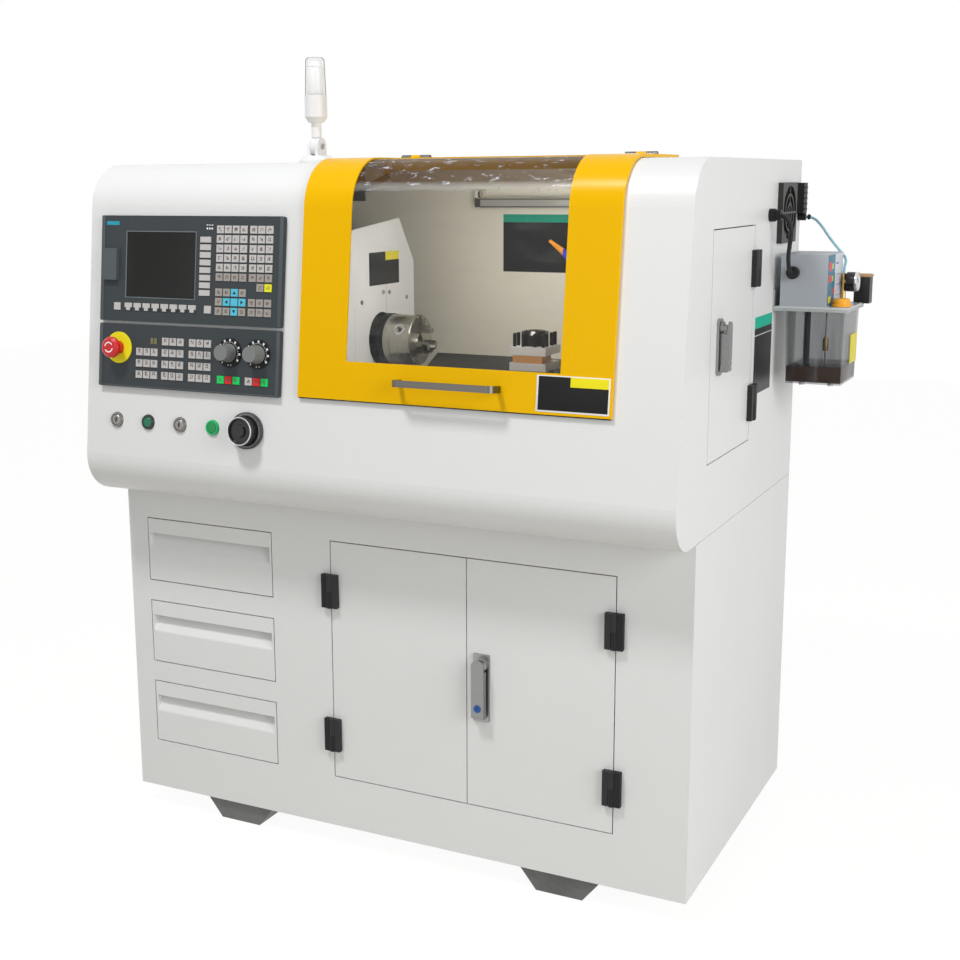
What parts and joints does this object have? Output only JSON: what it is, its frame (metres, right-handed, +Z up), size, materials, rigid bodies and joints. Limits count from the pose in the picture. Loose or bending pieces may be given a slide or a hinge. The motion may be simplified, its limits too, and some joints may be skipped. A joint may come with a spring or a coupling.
{
  "type": "cnc turning lathe",
  "caption": "Compact enclosed turning lathe on a sheet-metal cabinet: flip-up curved guard, operator panels, drawers, cupboard, beacon and side-mounted oil pump.",
  "frame": {"origin": "centre of the four anchor holes in the feet, on the floor", "axes": "+X to the operator's right, +Y from the operator to the back, +Z up"},
  "size_m": [1.352, 0.8019, 1.529],
  "materials": {
    "white_paint": "satin powder coat",
    "yellow_paint": "semi-gloss powder coat",
    "sheet_steel": "folded plate",
    "ground_steel": "ground and turned",
    "black_steel": "black oxide and black paint",
    "machine_iron": "dark machine paint",
    "chrome": "bright chrome",
    "black_plastic": "moulded",
    "panel_grey": "fine textured",
    "key_plastic": "membrane keys",
    "yellow_plastic": "moulded",
    "red_plastic": "moulded",
    "green_plastic": "moulded, lit from behind",
    "orange_plastic": "moulded",
    "blue_plastic": "moulded",
    "grey_plastic": "moulded",
    "clear_plastic": "clear moulding",
    "window_pane": "clear sheet",
    "belt_rubber": "toothed belt",
    "cable_rubber": "cable sheath",
    "tube_plastic": "clear blue tube",
    "aluminium": "anodised",
    "label_film": "printed film",
    "lamp_grey": "paint"
  },
  "bodies": {
    "machine": {"cabinet_shell": "white_paint", "feet": "sheet_steel", "hood_shell": "white_paint", "hinge_leaves": "black_steel", "guard_hinges": "black_steel", "strut_brackets": "sheet_steel", "lathe_bed": "machine_iron", "headstock": "machine_iron", "splash_panels": "white_paint", "display_panel": "panel_grey", "panel_keys": "key_plastic", "control_panel": "panel_grey", "dial_plates": "yellow_plastic", "switch_bezels": "chrome", "spindle_motor": "machine_iron", "drive_belt": "belt_rubber", "beacon_base": "grey_plastic", "pump_bracket": "aluminium", "pump_tank": "clear_plastic", "pump_unit": "grey_plastic", "fan_cover": "black_plastic", "cable_glands": "black_plastic", "pump_cable": "cable_rubber", "oil_tube": "tube_plastic", "label_plates": "label_film"},
    "guard": {"guard_door": "yellow_paint", "guard_window": "window_pane", "guard_handle": "chrome"},
    "strut_barrel_pair": {"strut_barrels": "black_steel"},
    "strut_rod_pair": {"strut_rods": "ground_steel"},
    "door_left": {"cabinet_door_left": "white_paint"},
    "door_right": {"cabinet_door_right": "white_paint"},
    "door_swivel": {"cabinet_latch": "chrome"},
    "door_grip": {"cabinet_lever": "chrome"},
    "access_door": {"side_door": "white_paint"},
    "access_swivel": {"side_latch": "chrome"},
    "access_grip": {"side_lever": "chrome"},
    "low_drawer": {"drawer_bottom": "white_paint"},
    "mid_drawer": {"drawer_middle": "white_paint"},
    "high_drawer": {"drawer_top": "white_paint"},
    "stop_button": {"estop_button": "red_plastic"},
    "feed_override": {"feed_knob": "black_plastic"},
    "speed_override": {"speed_knob": "black_plastic"},
    "pulse_wheel": {"handwheel": "black_plastic"},
    "power_key": {"key_switch_power": "chrome"},
    "start": {"start_button": "green_plastic"},
    "mode_key": {"key_switch_mode": "chrome"},
    "reset": {"reset_button": "green_plastic"},
    "work_spindle": {"spindle": "ground_steel", "chuck_body": "ground_steel"},
    "jaw_1": {"chuck_jaw_1": "ground_steel"},
    "jaw_2": {"chuck_jaw_2": "ground_steel"},
    "jaw_3": {"chuck_jaw_3": "ground_steel"},
    "saddle_slide": {"saddle": "machine_iron"},
    "cross_carriage": {"cross_slide": "ground_steel"},
    "turret": {"turret_head": "ground_steel"},
    "lamp": {"work_lamp": "lamp_grey"},
    "beacon": {"beacon_lamp": "clear_plastic"},
    "oil_cap": {"filler_cap": "orange_plastic"},
    "hose": {"coolant_hose": "blue_plastic"}
  },
  "joints": [
    {"name": "guard_hinge", "type": "hinge", "parent": "machine", "child": "guard", "pos_m": [0, -0.105, 1.345], "axis": [-1, 0, 0], "range_deg": [0, 65]},
    {"name": "strut_foot", "type": "hinge", "parent": "machine", "child": "strut_barrel_pair", "pos_m": [0, -0.255, 1.289], "axis": [1, 0, 0], "range_deg": [-1, 27]},
    {"name": "strut_stroke", "type": "slide", "parent": "strut_barrel_pair", "child": "strut_rod_pair", "axis": [0, 0.9641, 0.2656], "range_m": [-0.001, 0.024]},
    {"name": "left_door_hinge", "type": "hinge", "parent": "machine", "child": "door_left", "pos_m": [-0.117, -0.337, 0.388], "axis": [0, 0, -1], "range_deg": [0, 110]},
    {"name": "right_door_hinge", "type": "hinge", "parent": "machine", "child": "door_right", "pos_m": [0.46, -0.337, 0.388], "axis": [0, 0, 1], "range_deg": [0, 110]},
    {"name": "door_latch_turn", "type": "hinge", "parent": "door_right", "child": "door_swivel", "pos_m": [0.203, -0.3395, 0.43], "axis": [0, 1, 0], "range_deg": [0, 90]},
    {"name": "door_lever_lift", "type": "hinge", "parent": "door_swivel", "child": "door_grip", "pos_m": [0.203, -0.344, 0.43], "axis": [-1, 0, 0], "range_deg": [0, 30]},
    {"name": "access_door_hinge", "type": "hinge", "parent": "machine", "child": "access_door", "pos_m": [0.607, -0.017, 1.02], "axis": [0, 0, 1], "range_deg": [0, 110]},
    {"name": "access_latch_turn", "type": "hinge", "parent": "access_door", "child": "access_swivel", "pos_m": [0.6095, -0.235, 1.0565], "axis": [-1, 0, 0], "range_deg": [0, 90]},
    {"name": "access_lever_lift", "type": "hinge", "parent": "access_swivel", "child": "access_grip", "pos_m": [0.614, -0.235, 1.0565], "axis": [0, -1, 0], "range_deg": [0, 30]},
    {"name": "low_drawer_slide", "type": "slide", "parent": "machine", "child": "low_drawer", "axis": [0, -1, 0], "range_m": [0, 0.35]},
    {"name": "mid_drawer_slide", "type": "slide", "parent": "machine", "child": "mid_drawer", "axis": [0, -1, 0], "range_m": [0, 0.35]},
    {"name": "high_drawer_slide", "type": "slide", "parent": "machine", "child": "high_drawer", "axis": [0, -1, 0], "range_m": [0, 0.35]},
    {"name": "stop_push", "type": "slide", "parent": "machine", "child": "stop_button", "axis": [0, 0.9936, -0.1132], "range_m": [0, 0.004]},
    {"name": "feed_turn", "type": "hinge", "parent": "machine", "child": "feed_override", "pos_m": [-0.2622, -0.4326, 0.99363], "axis": [0, -0.9936, 0.1132], "range_deg": [-120, 150]},
    {"name": "speed_turn", "type": "hinge", "parent": "machine", "child": "speed_override", "pos_m": [-0.1996, -0.4326, 0.99363], "axis": [0, -0.9936, 0.1132], "range_deg": [-120, 150]},
    {"name": "wheel_turn", "type": "hinge", "parent": "machine", "child": "pulse_wheel", "pos_m": [-0.222, -0.43968, 0.85202], "axis": [0, -0.9936, 0.1132], "continuous": true},
    {"name": "power_key_turn", "type": "hinge", "parent": "machine", "child": "power_key", "pos_m": [-0.5263, -0.43968, 0.85202], "axis": [0, -0.9936, 0.1132], "range_deg": [-90, 0]},
    {"name": "start_push", "type": "slide", "parent": "machine", "child": "start", "axis": [0, 0.9936, -0.1132], "range_m": [0, 0.003], "stiffness_N_per_m": 400},
    {"name": "mode_key_turn", "type": "hinge", "parent": "machine", "child": "mode_key", "pos_m": [-0.3763, -0.43968, 0.85202], "axis": [0, -0.9936, 0.1132], "range_deg": [-90, 0]},
    {"name": "reset_push", "type": "slide", "parent": "machine", "child": "reset", "axis": [0, 0.9936, -0.1132], "range_m": [0, 0.003], "stiffness_N_per_m": 400},
    {"name": "spindle_turn", "type": "hinge", "parent": "machine", "child": "work_spindle", "pos_m": [-0.14, 0.033, 0.976], "axis": [1, 0, 0], "continuous": true},
    {"name": "jaw_1_slide", "type": "slide", "parent": "work_spindle", "child": "jaw_1", "axis": [0, 0, 1], "range_m": [-0.008, 0.012]},
    {"name": "jaw_2_slide", "type": "slide", "parent": "work_spindle", "child": "jaw_2", "axis": [0, -0.866, -0.5], "range_m": [-0.008, 0.012]},
    {"name": "jaw_3_slide", "type": "slide", "parent": "work_spindle", "child": "jaw_3", "axis": [0, 0.866, -0.5], "range_m": [-0.008, 0.012]},
    {"name": "saddle_travel", "type": "slide", "parent": "machine", "child": "saddle_slide", "axis": [1, 0, 0], "range_m": [-0.12, 0.23]},
    {"name": "cross_travel", "type": "slide", "parent": "saddle_slide", "child": "cross_carriage", "axis": [0, 1, 0], "range_m": [-0.045, 0.06]},
    {"name": "turret_index", "type": "hinge", "parent": "cross_carriage", "child": "turret", "pos_m": [0.175, -0.025, 0.96], "axis": [0, 0, 1], "continuous": true},
    {"name": "lamp_tilt", "type": "hinge", "parent": "machine", "child": "lamp", "pos_m": [0.058, 0.254, 1.273], "axis": [1, 0, 0], "range_deg": [-30, 40]},
    {"name": "beacon_fold", "type": "hinge", "parent": "machine", "child": "beacon", "pos_m": [-0.182, -0.24, 1.367], "axis": [-1, 0, 0], "range_deg": [0, 90]},
    {"name": "cap_lift", "type": "slide", "parent": "machine", "child": "oil_cap", "axis": [0, 0, 1], "range_m": [0, 0.012]},
    {"name": "hose_swing", "type": "hinge", "parent": "machine", "child": "hose", "pos_m": [0.205, 0.262, 0.962], "axis": [0, 1, 0], "range_deg": [-50, 40]}
  ],
  "couplings": [
    {"joint": "strut_foot", "follows": "guard_hinge", "ratio": 0.39},
    {"joint": "strut_stroke", "follows": "guard_hinge", "m_per_rad": 0.0184},
    {"joint": "jaw_2_slide", "follows": "jaw_1_slide", "ratio": 1},
    {"joint": "jaw_3_slide", "follows": "jaw_1_slide", "ratio": 1}
  ]
}
